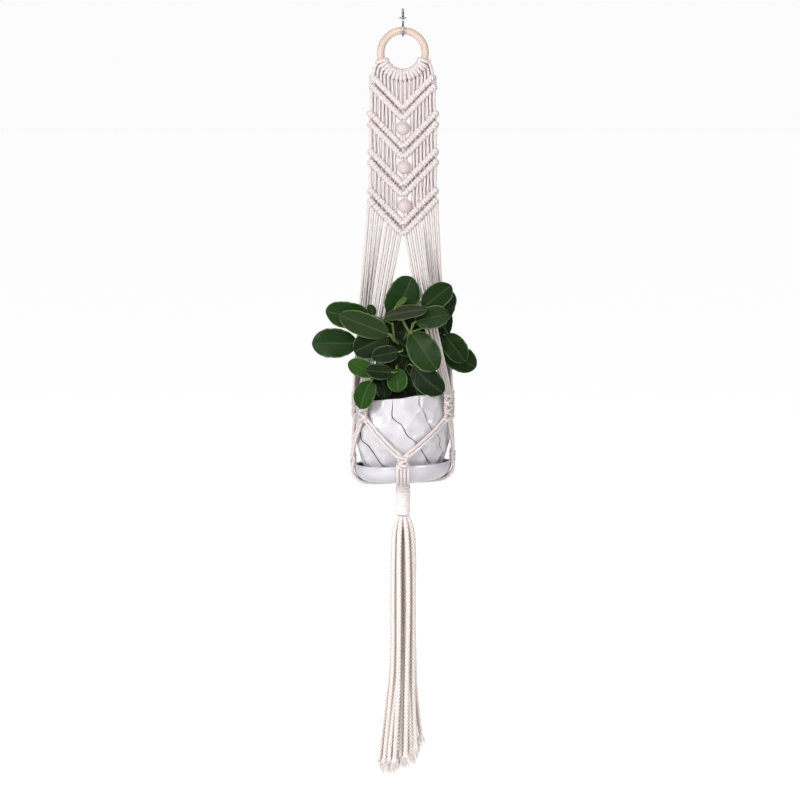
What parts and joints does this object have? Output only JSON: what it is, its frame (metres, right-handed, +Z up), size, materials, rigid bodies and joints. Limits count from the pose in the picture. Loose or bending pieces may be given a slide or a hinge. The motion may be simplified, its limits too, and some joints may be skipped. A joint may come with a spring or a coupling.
{
  "type": "hanging macrame planter",
  "caption": "Plant hanger of knotted cotton cord on a wooden ring, with beads, a tassel and a cradle that holds a glazed pot, saucer and leafy plant.",
  "frame": {"origin": "on the ceiling plane, at the middle of the top face of the hook's collar, where the threaded shank leaves it", "axes": "+Z up along the threaded shank, -Y the front, which the beads and the flat side of the knotted panel face, +X to the viewer's right"},
  "size_m": [0.2245, 0.144, 1.0322],
  "materials": {
    "hook_metal": "bright plated steel wire",
    "ring_wood": "fine-grained pale wood, sanded and unvarnished",
    "bead_wood": "pale turned wood, sanded",
    "cotton_cord": "braided natural cotton cord, taut",
    "tassel_cotton": "slack braided natural cotton cord with frayed ends",
    "pot_glaze": "glossy white glaze, dented, with fine black crazing lines",
    "saucer_glaze": "glossy white glaze",
    "potting_mix": "dark moist peat and bark",
    "stem": "green-brown woody stem and pale petioles",
    "leaf": "thick leaf with soft gloss and paler veins"
  },
  "bodies": {
    "hook": {"ceiling_hook": "hook_metal"},
    "ring": {"wooden_ring": "ring_wood", "larks_head_knots": "cotton_cord"},
    "macrame": {"chevron_1": "cotton_cord", "chevron_2": "cotton_cord", "chevron_3": "cotton_cord", "chevron_4": "cotton_cord", "panel_strands_1": "cotton_cord", "panel_strands_2": "cotton_cord", "panel_strands_3": "cotton_cord", "panel_strands_4": "cotton_cord", "leg_front_left": "cotton_cord", "leg_front_right": "cotton_cord", "leg_back_left": "cotton_cord", "leg_back_right": "cotton_cord", "upper_knot_front_left": "cotton_cord", "upper_knot_front_right": "cotton_cord", "upper_knot_back_right": "cotton_cord", "upper_knot_back_left": "cotton_cord", "cradle_cords_front_left": "cotton_cord", "cradle_cords_front_right": "cotton_cord", "cradle_cords_back_right": "cotton_cord", "cradle_cords_back_left": "cotton_cord", "lower_knot_front": "cotton_cord", "lower_knot_right": "cotton_cord", "lower_knot_back": "cotton_cord", "lower_knot_left": "cotton_cord", "saucer_cords_front": "cotton_cord", "saucer_cords_right": "cotton_cord", "saucer_cords_back": "cotton_cord", "saucer_cords_left": "cotton_cord", "saucer": "saucer_glaze"},
    "bead_1": {"bead_1": "bead_wood"},
    "bead_2": {"bead_2": "bead_wood"},
    "bead_3": {"bead_3": "bead_wood"},
    "planted_pot": {"pot": "pot_glaze", "potting_mix": "potting_mix", "plant_stems": "stem", "leaves_left": "leaf", "leaves_top": "leaf", "leaves_right": "leaf", "leaves_front": "leaf", "leaves_low": "leaf"},
    "neck": {"gathering_wrap": "cotton_cord"},
    "tassel": {"tassel_strand_01": "tassel_cotton", "tassel_strand_02": "tassel_cotton", "tassel_strand_03": "tassel_cotton", "tassel_strand_04": "tassel_cotton", "tassel_strand_05": "tassel_cotton", "tassel_strand_06": "tassel_cotton", "tassel_strand_07": "tassel_cotton", "tassel_strand_08": "tassel_cotton", "tassel_strand_09": "tassel_cotton", "tassel_strand_10": "tassel_cotton", "tassel_strand_11": "tassel_cotton", "tassel_strand_12": "tassel_cotton", "tassel_strand_13": "tassel_cotton", "tassel_strand_14": "tassel_cotton", "tassel_strand_15": "tassel_cotton", "tassel_strand_16": "tassel_cotton"}
  },
  "joints": [
    {"name": "ring_swing", "type": "hinge", "parent": "hook", "child": "ring", "pos_m": [0, 0, -0.0247], "axis": [0, 1, 0], "range_deg": [-25, 25]},
    {"name": "panel_swing", "type": "hinge", "parent": "ring", "child": "macrame", "pos_m": [0, 0, -0.083], "axis": [1, 0, 0], "range_deg": [-20, 20]},
    {"name": "bead_1_spin", "type": "hinge", "parent": "macrame", "child": "bead_1", "pos_m": [0, 0, -0.1495], "axis": [0, 0, 1], "continuous": true},
    {"name": "bead_2_spin", "type": "hinge", "parent": "macrame", "child": "bead_2", "pos_m": [0.0018, 0, -0.202], "axis": [0, 0, 1], "continuous": true},
    {"name": "bead_3_spin", "type": "hinge", "parent": "macrame", "child": "bead_3", "pos_m": [0.0024, 0, -0.254], "axis": [0, 0, 1], "continuous": true},
    {"name": "pot_lift", "type": "slide", "parent": "macrame", "child": "planted_pot", "axis": [0, 0, 1], "range_m": [0, 0.012]},
    {"name": "neck_swing", "type": "hinge", "parent": "macrame", "child": "neck", "pos_m": [0, 0, -0.6405], "axis": [1, 0, 0], "range_deg": [-15, 15]},
    {"name": "tassel_swing", "type": "hinge", "parent": "neck", "child": "tassel", "pos_m": [0, 0, -0.676], "axis": [0, 1, 0], "range_deg": [-25, 25]}
  ]
}
